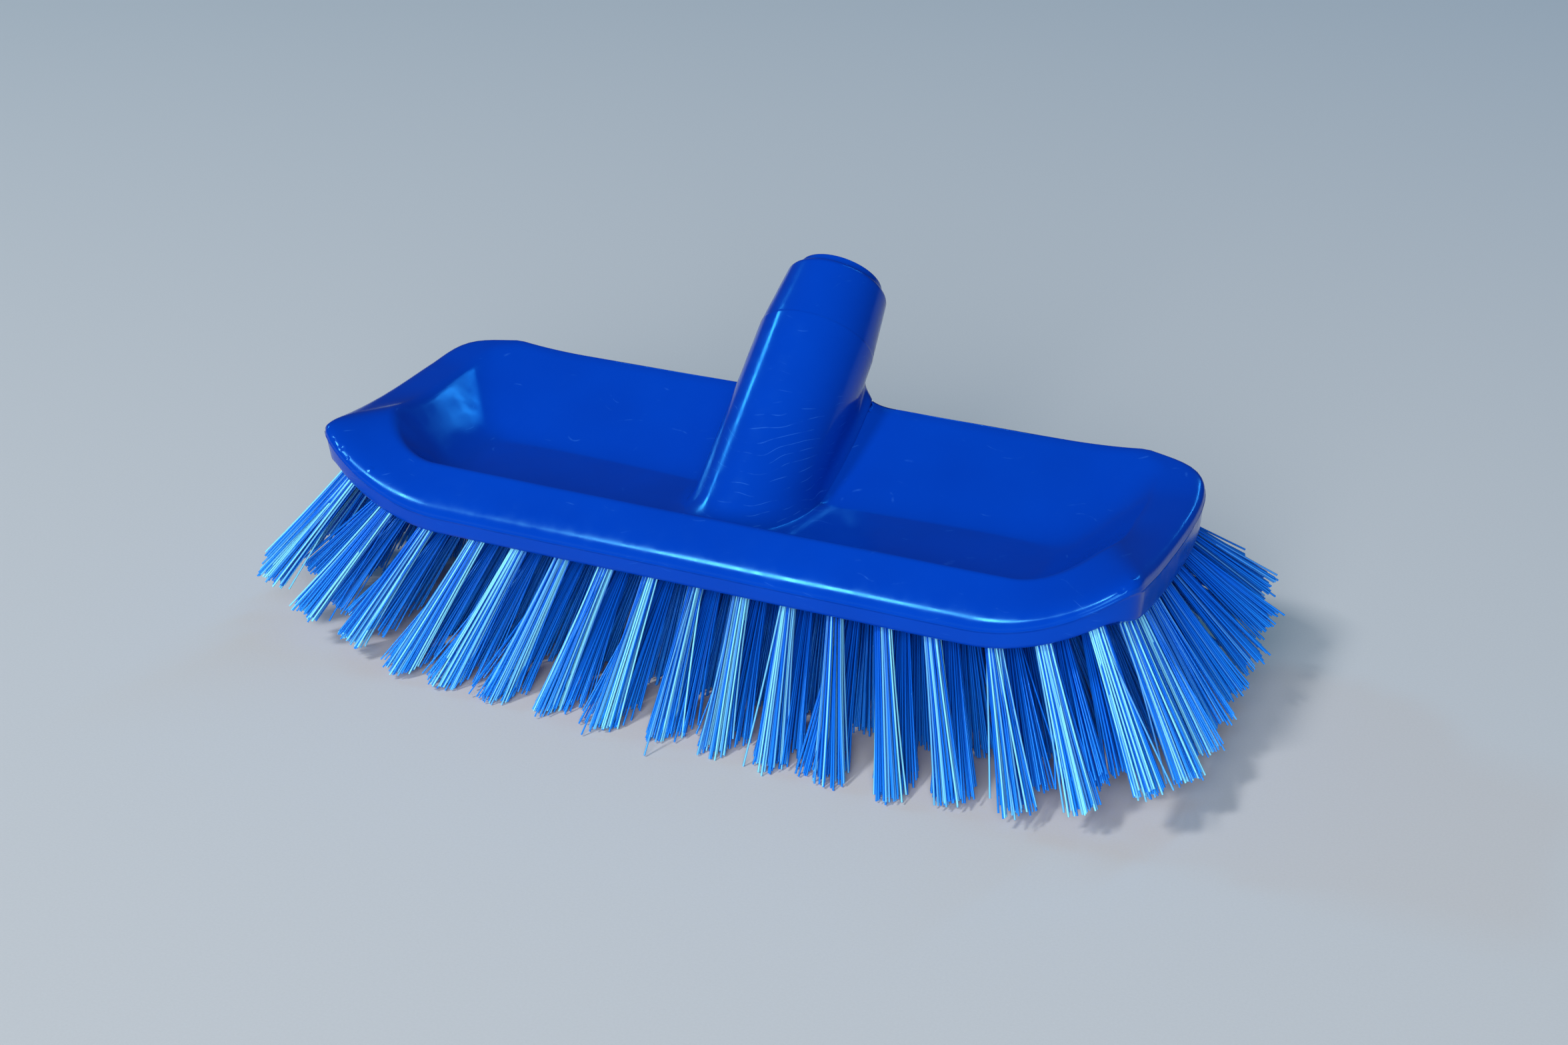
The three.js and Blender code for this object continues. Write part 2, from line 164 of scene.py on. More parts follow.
def blockMaterial(f):
    material, tree = newMaterial("polypropyleneMoulded")
    place = addNode(tree, "ShaderNodeTexCoord").outputs["Object"]
    cloud = addNode(tree, "ShaderNodeTexNoise", inputs={
        "Vector": place, "Scale": 1 / (f["cloudSize"] * mm), "Detail": 3.0})
    tone = addNode(tree, "ShaderNodeMix", {"data_type": "RGBA"}, {
        "Factor": cloud.outputs[0], 6: hexColor(f["color"]), 7: hexColor(f["deep"])})
    # scratches: crests of wavy level bands, broken into patches, most of them round the foot of the socket
    bands = addNode(tree, "ShaderNodeTexWave", {"bands_direction": "Z"}, {
        "Vector": place, "Scale": math.pi / 10 / (f["scratchGap"] * mm), "Distortion": f["scratchWave"],
        "Detail": 1.0, "Detail Scale": f["scratchBend"]})
    line = addNode(tree, "ShaderNodeMapRange", inputs={
        "Value": bands.outputs["Fac"], "From Min": f["scratchFrom"], "From Max": 1.0})
    away = addNode(tree, "ShaderNodeVectorMath", {"operation": "DISTANCE"}, {
        0: place, 1: [c * mm for c in f["rubbedAt"]]})
    thinFrom, thinTo = f["rubbedReach"]
    rubbed = addNode(tree, "ShaderNodeMapRange", inputs={
        "Value": away.outputs["Value"], "From Min": thinFrom * mm, "From Max": thinTo * mm,
        "To Min": f["rubbedMore"], "To Max": 0.0})
    patch = addNode(tree, "ShaderNodeTexNoise", inputs={
        "Vector": place, "Scale": 1 / (f["patchSize"] * mm), "Detail": 3.0})
    more = addNode(tree, "ShaderNodeMath", {"operation": "ADD"}, {
        0: patch.outputs[0], 1: rubbed.outputs[0]})
    shown = addNode(tree, "ShaderNodeMapRange", inputs={
        "Value": more.outputs[0], "From Min": f["scratchPatch"][0], "From Max": f["scratchPatch"][1]})
    scratch = addNode(tree, "ShaderNodeMath", {"operation": "MULTIPLY"}, {
        0: line.outputs[0], 1: shown.outputs[0]})
    pale = addNode(tree, "ShaderNodeMath", {"operation": "MULTIPLY"}, {
        0: scratch.outputs[0], 1: f["scratchPale"]})
    color = addNode(tree, "ShaderNodeMix", {"data_type": "RGBA"}, {
        "Factor": pale.outputs[0], 6: tone.outputs[2], 7: hexColor(f["scuff"])})
    peel = addNode(tree, "ShaderNodeTexNoise", inputs={
        "Vector": place, "Scale": 1 / (f["peelSize"] * mm), "Detail": 2.0})
    # height is counted in orange peels
    height = addNode(tree, "ShaderNodeMath", {"operation": "MULTIPLY_ADD"}, {
        0: scratch.outputs[0], 1: -f["scratchDepth"], 2: peel.outputs[0]})
    for spot, radius, way in f["marks"]:
        near = addNode(tree, "ShaderNodeVectorMath", {"operation": "DISTANCE"}, {
            0: place, 1: [c * mm for c in spot]})
        mark = addNode(tree, "ShaderNodeMapRange", {"interpolation_type": "SMOOTHSTEP"}, {
            "Value": near.outputs["Value"], "From Max": radius * mm,
            "To Min": way * f["markHeight"] / f["peelHeight"], "To Max": 0.0})
        height = addNode(tree, "ShaderNodeMath", {"operation": "ADD"}, {
            0: height.outputs[0], 1: mark.outputs[0]})
    bump = addNode(tree, "ShaderNodeBump", inputs={
        "Strength": f["bumpStrength"], "Distance": f["peelHeight"] * mm, "Height": height.outputs[0]})
    smoother, rougher = [f["roughness"] + change for change in f["roughnessRange"]]
    rough = addNode(tree, "ShaderNodeMapRange", inputs={
        "Value": patch.outputs[0], "From Min": f["roughnessPatch"][0], "From Max": f["roughnessPatch"][1],
        "To Min": smoother, "To Max": rougher})
    shader = addNode(tree, "ShaderNodeBsdfPrincipled", inputs={
        "Base Color": color.outputs[2], "Roughness": rough.outputs[0], "IOR": f["ior"],
        "Specular IOR Level": f["specular"], "Specular Tint": hexColor(f["sheenTint"]),
        "Normal": bump.outputs[0]})
    closeMaterial(tree, shader)
    return material


# the moulded block with its socket, in mm from the middle of the rim's plan and up from the floor
block = {
    "length": (blockHigh.x - blockLow.x) / mm,
    "depth": 91.0,
    "frontCorner": (46.0, 13.0),
    "backCorner": (22.0, 36.0),
    "backCurve": (0.54, 0.3, 0.42),       # weights of its curve, with a slight break at the back edge
    "leastCorner": 2.0,
    "sole": 37.0,
    "foot": (3.0, 16.7, 12.0, 6.0),       # front height, corner rise, end height, end sag
    "footRound": 1.0,
    "rim": (11.6, 17.6, 25.7, 3.9),
    "edgeBlend": 0.8,
    "hornRise": 1.5,                      # the back edge curves up to its corners
    "hornFrom": 85.0,                     # from here along the back
    "hornBack": (24.0, 44.0),             # and between these places across
    "trayFloor": 12.0,
    "wallDraft": -0.4,
    "rimInto": (2.6, 3.2),                # length of the rim's round on the wall, front and end
    "rimOver": (8.0, 8.5),                # and on the flange
    "rimMost": 0.46,                      # at most this share of the flange
    "flangeWidth": (12.6, 13.0, 2.6),     # front, end, back
    "flangeRise": (9.0, 0.4, 0.0),
    "trayCorner": (24.0, 20.0),
    "trayRun": (7.0, 19.0, 33.0),
    "trayLeast": 12.0,
    "edgeRound": 2.2,
    "floorRound": (4.5, 7.0, 27.0),       # front, end, back
    "band": (12.6, 41.0, 33.0),           # rising band round the flat of the underside
    "bandCurve": 1.4,
    "soleInsets": (44.0, 38.0, 30.0, 22.0, 15.0, 9.0),     # rings of the underside
    "footInset": 4.0,                     # and the last of them, where the wall's paths start
    "partingRidge": 0.3,
    "wobble": 0.12,
    "wobbleSize": 26.0,
    "wobbleSeed": 5,
}
block["middleY"] = blockLow.y / mm + block["depth"] / 2

socket = {
    "tilt": 39.6,
    "foot": 1.0,
    "length": 81.4,
    "radius": 18.75,
    "collarRadius": 18.6,
    "collarLength": 22.0,
    "collarEase": 0.6,
    "mouthRadius": 16.7,
    "mouthRound": 2.4,
    "lipRadius": 13.75,
    "lipHeight": 2.6,
    "boreRadius": 11.2,
    "boreDepth": 46.0,
    "boreChamfer": 0.6,
    "boreEnd": 6.0,             # radius of the flat at its end
    "boreSteps": 84,
    "threadPitch": 5.0,
    "threadDepth": 0.9,
    "threadStart": (8.0, 12.0),     # fades in between these heights above the bore's end
    "threadStop": (4.0, 1.0),       # and out between these depths below its mouth
    "beyond": 120.0,            # a place on the axis past the mouth, to look back from
    "blend": (6.5, 10.0),       # reach of the fillet between the socket and the block, front and back
    "blendChange": (5.0, 35.0),     # changing from one to the other between these places across
    "blendLimit": (-45.0, -30.0),   # along the axis, no fillet before the first, all of it from the second
    "footSteps": 18,
    "footCrowd": 1.5,           # the rings lie closer towards the foot
    "squareShare": (0.2, 0.9),      # the square foot turns round between these shares of the way up
    "onBlock": 0.05,            # nearer than this counts as on the block
}


def unit(v):
    return v / np.maximum(np.linalg.norm(v, axis=-1, keepdims=True), 1e-9)


def smoothStep(v, low, high):
    t = np.clip((v - low) / (high - low), 0, 1)
    return t * t * (3 - 2 * t)


def smoothMin(a, b, k):
    return -k * np.log(np.exp(-a / k) + np.exp(-b / k))


# the right half of a plan for u from 0 to 5: front, front corner, end, back corner, back
def planPoint(u, plan):
    half, front, back, (fx, fy), (bx, by) = plan
    pullX, pullY, endY = block["backCurve"]
    leg = np.clip(np.floor(u), 0, 4)
    f = u - leg
    a = f * math.pi / 2
    g = 1 - f
    legs = [leg == 0, leg == 1, leg == 2, leg == 3]
    x = np.select(legs, [
        f * (half - fx), half - fx + fx * np.sin(a), half + 0 * f,
        half - bx * (pullX * g * f * f + f ** 3)], (half - bx) * g)
    y = np.select(legs, [
        front + 0 * f, front + fy - fy * np.cos(a), g * (front + fy) + f * (back - by),
        back - by * (g ** 3 + pullY * g * g * f + endY * g * f * f)], back + 0 * f)
    return x, y


def drawnIn(plan, front, end, back, least):
    half, planFront, planBack, (fx, fy), (bx, by) = plan
    return (half - end, planFront + front, planBack - back,
            (max(fx - end, least), max(fy - front, least)), (max(bx - end, least), max(by - back, least)))


halfDepth = block["depth"] / 2
rimPlan = (block["length"] / 2, -halfDepth, halfDepth, block["frontCorner"], block["backCorner"])
straightHalf = rimPlan[0] - block["frontCorner"][0]


# 0 along the straight front, rising round the corners to 1 at the ends
def endShare(x):
    return (np.maximum(0, np.abs(x) - straightHalf) / block["frontCorner"][0]) ** 2


# low along the front, climbing round the front corners, sagging along the ends
def edgeHeight(x, y, front, rise, end, sag):
    atFront = front + rise * endShare(x)
    atEnd = end + sag * (y / halfDepth) ** 2
    return block["sole"] + np.where(y < 0, smoothMin(atFront, atEnd, block["edgeBlend"]), atEnd)


def undersideRing(u, inset):
    x, y = planPoint(u, drawnIn(rimPlan, inset, inset, inset, block["leastCorner"]))
    rx, ry = planPoint(u, rimPlan)
    front, end, back = block["band"]
    band = np.where(ry < 0, front, back)
    band = band + (end - band) * smoothStep(np.abs(rx), straightHalf, rimPlan[0])
    climb = np.maximum(0, 1 - inset / band) ** block["bandCurve"]
    foot = edgeHeight(rx, ry, *block["foot"])
    return np.stack([x, y, block["sole"] + (foot - block["sole"]) * climb], -1)


# points along a path of corners, each inner corner rounded by a curve that leaves both sides smoothly
def roundedPath(corners, reaches, fractions, curveSteps):
    most = 0.8      # share of a side that a curve may take
    points = [corners[0]]
    last = corners[0]
    for k, (into, over) in enumerate(reaches):
        corner = corners[k + 1]
        before = corners[k] - corner
        after = corners[k + 2] - corner
        into = np.minimum(into, most * np.linalg.norm(before, axis=-1))[:, None]
        over = np.minimum(over, most * np.linalg.norm(after, axis=-1))[:, None]
        start = corner + unit(before) * into
        end = corner + unit(after) * over
        points += [last + (start - last) * f for f in fractions[k]]
        for i in range(1, curveSteps[k] + 1):
            t = i / curveSteps[k]
            points.append((1 - t) ** 2 * start + 2 * t * (1 - t) * corner + t * t * end)
        last = end
    points += [last + (corners[-1] - last) * f for f in fractions[-1]]
    return np.stack(points, 1)


# steps along the straight stretches and the curves of a path over the block's edge
evenTwo, evenFive, evenMany = [np.linspace(0, 1, n + 1)[1:] for n in (2, 5, 30)]
wallSteps = np.array([0.2, 0.4, 0.6, 0.8, 0.9, 0.95, 1.0])
ridgeOnWall = 5     # the wall's step that carries the parting line
footCurve, rimCurve, edgeCurve, floorCurve = 4, 10, 8, 30
ridgeStep = 1 + len(evenTwo) + footCurve + ridgeOnWall
edgeEnd = 1 + len(evenTwo) + footCurve + len(wallSteps) + rimCurve + len(evenFive) + edgeCurve


# from under the foot, up the wall, over the rim and the flange, and down the tray to its middle
def topPaths(u):
    rx, ry = planPoint(u, rimPlan)
    share = endShare(rx)
    draft = block["wallDraft"]
    fx, fy = planPoint(u, drawnIn(rimPlan, draft, draft, draft, block["leastCorner"]))
    foot = np.stack([fx, fy, edgeHeight(rx, ry, *block["foot"])], -1)
    hornRun = rimPlan[0] - block["backCorner"][0] - block["hornFrom"]
    horn = np.clip((np.abs(rx) - block["hornFrom"]) / hornRun, 0, 1)
    horn = block["hornRise"] * horn ** 2 * smoothStep(ry, *block["hornBack"])
    rimZ = edgeHeight(rx, ry, *block["rim"]) + horn
    rim = np.stack([rx, ry, rimZ], -1)
    front, end, back = block["flangeWidth"]
    edgePlan = drawnIn(rimPlan, front, end, back, block["trayLeast"])
    edgePlan = (*edgePlan[:3], block["trayCorner"], edgePlan[4])
    ex, ey = planPoint(u, edgePlan)
    riseFront, riseEnd, riseBack = block["flangeRise"]
    rise = np.where(ry < 0, riseFront, riseBack)
    rise = rise + (riseEnd - rise) * share
    edge = np.stack([ex, ey, rimZ + rise], -1)
    tx, ty = planPoint(u, drawnIn(edgePlan, *block["trayRun"], block["trayLeast"]))
    floorZ = np.full_like(tx, block["sole"] + block["trayFloor"])
    floor = np.stack([tx, ty, floorZ], -1)
    centre = np.stack([0 * tx, 0 * ty + socket["foot"], floorZ], -1)
    # the rim's corner is moved out so that the middle of its round stays on the measured edge
    into, over = [low + (high - low) * share for low, high in (block["rimInto"], block["rimOver"])]
    over = np.minimum(over, block["rimMost"] * np.linalg.norm(edge - rim, axis=-1))
    rim = rim - 0.25 * (unit(foot - rim) * into[:, None] + unit(edge - rim) * over[:, None])
    footRound = block["footRound"] + 0 * u
    edgeRound = block["edgeRound"] + 0 * u
    roundFront, roundEnd, roundBack = block["floorRound"]
    floorRound = np.where(ry < 0, roundFront, roundBack)
    floorRound = floorRound + (roundEnd - floorRound) * share
    corners = [undersideRing(u, block["footInset"]), foot, rim, edge, floor, centre]
    reaches = [(footRound, footRound), (into, over), (edgeRound, edgeRound), (floorRound, floorRound)]
    path = roundedPath(corners, reaches, [evenTwo, wallSteps, evenFive, evenMany, evenMany],
                       [footCurve, rimCurve, edgeCurve, floorCurve])
    # the parting line stands a little proud of the wall
    nudge = 1e-3
    ax, ay = planPoint(np.minimum(u + nudge, 5 - 1e-6), rimPlan)
    bx, by = planPoint(np.maximum(u - nudge, 0), rimPlan)
    path[:, ridgeStep] += unit(np.stack([ay - by, bx - ax, 0 * u], -1)) * block["partingRidge"]
    return path


tilt = math.radians(socket["tilt"])
axisWay = np.array([0, math.cos(tilt), math.sin(tilt)])
sideWay = np.array([1.0, 0, 0])
topWay = np.array([0, -math.sin(tilt), math.cos(tilt)])
axisFoot = np.array([0, socket["foot"], block["sole"] + block["trayFloor"]])


# below its middle the socket's foot is filled out square, as it is drawn down to the block
def footRadius(turn):
    square = (np.cos(turn) ** 4 + np.sin(turn) ** 4) ** -0.25
    return socket["radius"] * np.where(np.cos(turn) < 0, square, 1)


def aroundAxis(points):
    away = points - axisFoot
    t = away @ axisWay
    across = away - t[..., None] * axisWay
    turn = np.arctan2(across @ sideWay, across @ topWay)
    return t, turn, np.linalg.norm(across, axis=-1) - footRadius(turn)


def outOfAxis(turn):
    return np.cos(turn)[..., None] * topWay + np.sin(turn)[..., None] * sideWay


def onSocket(t, turn, radius):
    return axisFoot + np.asarray(t)[..., None] * axisWay + outOfAxis(turn) * np.asarray(radius)[..., None]


# the block's surface without the socket, to measure against
def bareSurface():
    samples = 360
    right = topPaths(np.linspace(0, 5, samples))
    points = np.concatenate([right, right[-2:0:-1] * np.array([-1, 1, 1])], 0)
    around, steps = points.shape[:2]
    faces = []
    for i in range(around):
        here = i * steps
        beside = (i + 1) % around * steps
        faces += [(here + k, beside + k, beside + k + 1, here + k + 1) for k in range(steps - 1)]
    return BVHTree.FromPolygons(points.reshape(-1, 3).tolist(), faces)


# where each line along the socket's side meets the block
def socketFoot(surface, turn):
    starts = onSocket(0 * turn + socket["beyond"], turn, footRadius(turn))
    return np.array([surface.ray_cast(Vector(p), Vector(-axisWay))[0] for p in starts])


# how the half block is cut into columns of faces, in mm
columns = {
    "count": 170,
    "turnSamples": 1500,
    "rimSamples": 3000,
    "middle": 8.0,          # place across that the columns spread from
    "rimGap": 2.2,          # wanted distance between columns along the rim
    "footGap": 0.9,         # and round the foot of the socket
    "trayRows": 60,
    "crowd": 0.85,          # the rows of the tray lie closer together at both ends
    "tooClose": 0.5,        # no room for a tray between the edge and the socket
    "above": 200.0,         # height to look down from
    "smoothing": 3,
}


# columns that share out both the rim and the foot of the socket evenly
def columnSteps(surface, c):
    turn = np.linspace(0, math.pi, c["turnSamples"])
    hits = socketFoot(surface, turn)
    u = np.linspace(0, 5, c["rimSamples"])
    rx, ry = planPoint(u, rimPlan)
    rimAngle = np.arctan2(rx, c["middle"] - ry)
    loopAngle = np.maximum.accumulate(np.arctan2(hits[:, 0], c["middle"] - hits[:, 1]))
    matched = np.interp(loopAngle, rimAngle, u)
    mx, my = planPoint(matched, rimPlan)
    rimWeight = np.hypot(np.diff(mx), np.diff(my)) / c["rimGap"]
    footWeight = np.linalg.norm(np.diff(hits, axis=0), axis=1) / c["footGap"]
    total = np.concatenate([[0], np.cumsum(rimWeight + footWeight)])
    spread = np.linspace(0, total[-1], c["count"])
    return np.interp(spread, total, matched), np.interp(spread, total, turn)


# each column runs from under the foot to the socket
def blockColumns(surface, c, u, turn):
    hits = socketFoot(surface, turn)
    outer = topPaths(u)[:, :edgeEnd + 1]
    even = np.linspace(0, 1, c["trayRows"] + 1)[1:]
    fractions = even - c["crowd"] * np.sin(2 * math.pi * even) / (2 * math.pi)
    inner = np.empty((len(u), len(fractions), 3))
    for i in range(len(u)):
        last = outer[i, -1].copy()
        gaps = aroundAxis(outer[i])[2]
        inside = np.nonzero(gaps < 0)[0]
        noTray = np.hypot(*(hits[i] - last)[:2]) < c["tooClose"]
        behind = hits[i, 1] > last[1] and u[i] > 4
        if len(inside) or noTray or behind:
            stop = inside[0] if len(inside) else int(np.argmin(gaps))
            outer[i, stop:] = hits[i]
            inner[i] = hits[i]
            continue
        inner[i] = last + (hits[i] - last) * fractions[:, None]
        for point in inner[i, :-1]:
            above = Vector((point[0], point[1], c["above"]))
            point[2] = surface.ray_cast(above, Vector((0, 0, -1)))[0].z
        z = inner[i, :, 2]
        for _ in range(c["smoothing"]):
            z[1:-1] = 0.25 * z[:-2] + 0.5 * z[1:-1] + 0.25 * z[2:]
    return np.concatenate([outer, inner], 1), hits


def gridNormals(points):
    n = np.cross(np.gradient(points, axis=0), np.gradient(points, axis=1))
    size = np.linalg.norm(n, axis=-1)
    n = unit(n)
    for k in range(1, points.shape[1]):
        flat = size[:, k] < 1e-4    # faces drawn together to a point have no direction of their own
        n[flat, k] = n[flat, k - 1]
    return n


# outward shift that blends two surfaces where one is this far from the other
def blendShift(gap, y):
    front, back = socket["blend"]
    reach = front + (back - front) * smoothStep(y, *socket["blendChange"])
    return reach / 4 * np.maximum(0, 1 - np.maximum(gap, 0) / reach) ** 2


# rings of the socket above its foot: collar, shoulder, lip and the start of the bore
# the small numbers are mm that round off the edges
def socketProfile(s):
    taperSteps = 10
    roundSteps = 7
    top = s["length"]
    base = top - s["lipHeight"]
    collar = base - s["collarLength"]
    shoulder = base - s["mouthRound"]
    lip = s["lipRadius"]
    step = s["radius"] - s["collarRadius"]
    ease = s["collarEase"]
    rings = [(collar - 0.5, s["radius"]), (collar - 0.1, s["radius"] - 0.1 * step),
             (collar + 0.12, s["radius"] - 0.4 * step), (collar + 0.25, s["collarRadius"] + 0.15 * step),
             (collar + ease, s["collarRadius"])]
    for k in np.linspace(0, 1, taperSteps + 1)[1:]:
        rings.append((collar + ease + (shoulder - collar - ease) * k,
                      s["collarRadius"] + (s["mouthRadius"] - s["collarRadius"]) * k))
    for a in np.linspace(0, math.pi / 2, roundSteps + 1)[1:]:
        rings.append((shoulder + s["mouthRound"] * math.sin(a),
                      s["mouthRadius"] - s["mouthRound"] * (1 - math.cos(a))))
    rings += [(base, lip + 0.2), (base + 0.1, lip + 0.04), (base + 0.3, lip), (top - 0.35, lip),
              (top - 0.1, lip - 0.1), (top, lip - 0.35), (top, s["boreRadius"] + 0.5),
              (top - 0.15, s["boreRadius"] + 0.15), (top - s["boreChamfer"], s["boreRadius"])]
    return rings


# the bore, with a thread for the handle
def boreRings(s, turn):
    top = s["length"] - s["boreChamfer"]
    bottom = s["length"] - s["boreDepth"]
    rings = []
    for level in np.linspace(top, bottom, s["boreSteps"] + 1)[1:]:
        wave = 0.5 - 0.5 * np.cos(2 * math.pi * level / s["threadPitch"] + turn)
        fadeIn = smoothStep(level, *[bottom + v for v in s["threadStart"]])
        fadeOut = smoothStep(level, *[top - v for v in s["threadStop"]])
        thread = s["threadDepth"] * wave * (fadeIn * (1 - fadeOut))
        rings.append(onSocket(0 * turn + level, turn, s["boreRadius"] + thread))
    rings.append(onSocket(0 * turn + bottom, turn, 0 * turn + s["boreEnd"]))
    return rings


def blockRings():
    surface = bareSurface()
    u, turn = columnSteps(surface, columns)
    top, hits = blockColumns(surface, columns, u, turn)
    start = aroundAxis(hits)[0]
    normals = gridNormals(top)
    t, around, gap = aroundAxis(top)
    shift = blendShift(gap, top[..., 1]) * smoothStep(t, *socket["blendLimit"])
    top = top + shift[..., None] * unit(normals + outOfAxis(around))
    rings = [undersideRing(u, inset) for inset in block["soleInsets"]]
    rings += [top[:, k] for k in range(top.shape[1])]
    profile = socketProfile(socket)
    for k in np.linspace(0, 1, socket["footSteps"] + 2)[1:-1]:
        level = start + (profile[0][0] - start) * k ** socket["footCrowd"]
        square = 1 - smoothStep(k, *socket["squareShare"])
        points = onSocket(level, turn, socket["radius"] + (footRadius(turn) - socket["radius"]) * square)
        for i, point in enumerate(points):
            near, _, _, far = surface.find_nearest(Vector(point))
            way = point - np.array(near) if far > socket["onBlock"] else normals[i, -1]
            points[i] += blendShift(far, point[1]) * unit(unit(way) + outOfAxis(turn[i]))
        rings.append(points)
    rings += [onSocket(0 * turn + level, turn, 0 * turn + radius) for level, radius in profile]
    rings += boreRings(socket, turn)
    right = np.stack(rings, 0)
    points = np.concatenate([right, right[:, -2:0:-1] * np.array([-1, 1, 1])], 1)
    # slight unevenness of a cooled moulding, the same in each run
    noise.seed_set(block["wobbleSeed"])
    for ring in points:
        for point in ring:
            point += np.array(noise.noise_vector(Vector(point) / block["wobbleSize"])) * block["wobble"]
    return points


def meshFromRings(name, points):
    weldGap = 0.01 * mm
    leastEdge = 0.005 * mm
    rings, around = points.shape[:2]
    verts = (points.reshape(-1, 3) + np.array([0, block["middleY"], 0])) * mm
    faces = []
    for r in range(rings - 1):
        low = r * around
        high = low + around
        for i in range(around):
            j = (i + 1) % around
            faces.append((low + i, low + j, high + j, high + i))
    faces.append(tuple(range(around - 1, -1, -1)))
    faces.append(tuple((rings - 1) * around + i for i in range(around)))
    mesh = bpy.data.meshes.new(name)
    mesh.from_pydata(verts.tolist(), [], faces)
    bm = bmesh.new()
    bm.from_mesh(mesh)
    bmesh.ops.remove_doubles(bm, verts=bm.verts, dist=weldGap)
    bmesh.ops.dissolve_degenerate(bm, edges=bm.edges, dist=leastEdge)
    bmesh.ops.recalc_face_normals(bm, faces=bm.faces)
    bm.to_mesh(mesh)
    bm.free()
    mesh.shade_smooth()
    return mesh


blockMesh = meshFromRings("mouldedBlock", blockRings())
blockPiece = newObject("mouldedBlock", blockMesh)
blockMesh.materials.append(blockMaterial(blockFinish))
print("block made,", len(blockMesh.polygons), "faces")


# polyester monofilament: bright clear blue, glossy along its length; painted shade makes it darker towards
# the root under the block, and painted light makes it lighter towards the tip
bristleFinish = {
    # root, middle and tip colours: painted shade near the block, painted light at the cut ends
    "root": "#054cc6",
    "middle": "#0a66e0",
    "middleAt": 0.45,           # share of the length
    "tip": "#1e88f6",
    "clear": "#86e2ff",         # painted highlight: the filaments of the outer row that catch the light are painted pale
    "glintFrom": (0.42, 0.85),  # tones between which a filament is painted with the pale highlight
    "roughness": 0.26,
    "roughnessRange": (-0.08, 0.1),
    "ior": 1.5,
}


def bristleMaterial(f):
    material, tree = newMaterial("polyesterMonofilament")
    along = addNode(tree, "ShaderNodeAttribute", {"attribute_name": "along"})
    tone = addNode(tree, "ShaderNodeAttribute", {"attribute_name": "tone"})
    # the ramp along each filament is painted shade at the root and painted light at the tip
    ramp = addNode(tree, "ShaderNodeValToRGB", inputs={"Fac": along.outputs["Fac"]})
    ramp.color_ramp.elements[0].color = hexColor(f["root"])
    ramp.color_ramp.elements[1].color = hexColor(f["tip"])
    ramp.color_ramp.elements.new(f["middleAt"]).color = hexColor(f["middle"])
    # a high tone paints the filament pale, a painted highlight; the same tone sets its roughness
    clear = addNode(tree, "ShaderNodeMapRange", inputs={
        "Value": tone.outputs["Fac"], "From Min": f["glintFrom"][0], "From Max": f["glintFrom"][1]})
    color = addNode(tree, "ShaderNodeMix", {"data_type": "RGBA"}, {
        "Factor": clear.outputs[0], 6: ramp.outputs[0], 7: hexColor(f["clear"])})
    smoother, rougher = [f["roughness"] + change for change in f["roughnessRange"]]
    rough = addNode(tree, "ShaderNodeMapRange", inputs={
        "Value": tone.outputs["Fac"], "To Min": smoother, "To Max": rougher})
    shader = addNode(tree, "ShaderNodeBsdfPrincipled", inputs={
        "Base Color": color.outputs[2], "Roughness": rough.outputs[0], "IOR": f["ior"],
        "Specular Tint": hexColor(f["clear"])})
    closeMaterial(tree, shader)
    return material


# tufts of filaments, in mm, on the same rows and columns as the solids they stand for
bristles = {
    "firstInset": 5.0,
    "columnsPerHalf": 6,
    "columnGap": 0.25,              # share of a pitch left over at the end of the straight front
    "cornerTufts": (3, 2, 1),       # by row, from the edge inwards
    "endTufts": (8, 5, 3),
    "backTufts": (2, 2, 1),
    "fanAlong": 0.0058,             # lean for each mm from the middle
    "fanAcross": 0.0172,
    "backSplay": 0.42,              # more lean towards the back corners
    "rowLean": (1.0, 2.0, 2.6, 1.0),        # more lean further in, so that the tips stay close together
    "rowGlint": (1.0, 0.45, 0.4, 0.4),       # how much of the painted highlight each row gets
    "backGlint": 0.55,               # and the share of that towards the back
    "backGlintFrom": (-30.0, 0.0),   # falling to it between these places across
    "reach": {"front": 56.0, "back": 46.0, "left_end": 43.0, "right_end": 42.0},
    "cornerReach": 6.5,             # the filaments of the right end are longer at the front corner
    "cornerDepth": 36.0,            # all of it from this far forward of the middle
    "backShort": 5.0,               # all are shorter towards the back
    "trimFrom": 60.0,               # the brush is trimmed level to here, then curving up
    "trimCurve": 0.0013,
    "trimClear": 0.12,              # least height over the floor
    "lookFrom": -5.0,               # height from which the underside is looked for
    "sink": 2.0,                    # length of a filament inside the block
    "rootRadius": 2.6,
    "tipRadius": (4.3, 5.8),
    "rowSpread": (1.0, 1.6, 1.5, 1.2),      # the inner rows open more, to fill the gaps of the outer one
    "leanScatter": 0.03,
    "turnScatter": 0.2,             # radians, round the tuft
    "perTuft": (62, 70, 60, 46),    # filaments in a tuft, by row
    "filament": 0.6,                # diameter
    "uneven": 0.9,                  # spread of the cut ends
    "scatter": 0.45,                # sideways spread of the tips
    "strayShare": 0.05,
    "stray": 2.6,
    "waist": 0.6,                   # the tuft is drawn in by this at mid length
    "bow": 0.2,                     # random bend at mid length
    "segments": 6,
    "sides": 4,
    "seed": 11,
}


# places at even steps along the legs of a plan from one u to another
def evenPlaces(first, last, plan, count):
    samples = 400
    x, y = planPoint(np.linspace(first, last, samples), plan)
    run = np.concatenate([[0], np.cumsum(np.hypot(np.diff(x), np.diff(y)))])
    at = (np.arange(count) + 0.5) / count * run[-1]
    return list(zip(np.interp(at, run, x), np.interp(at, run, y)))


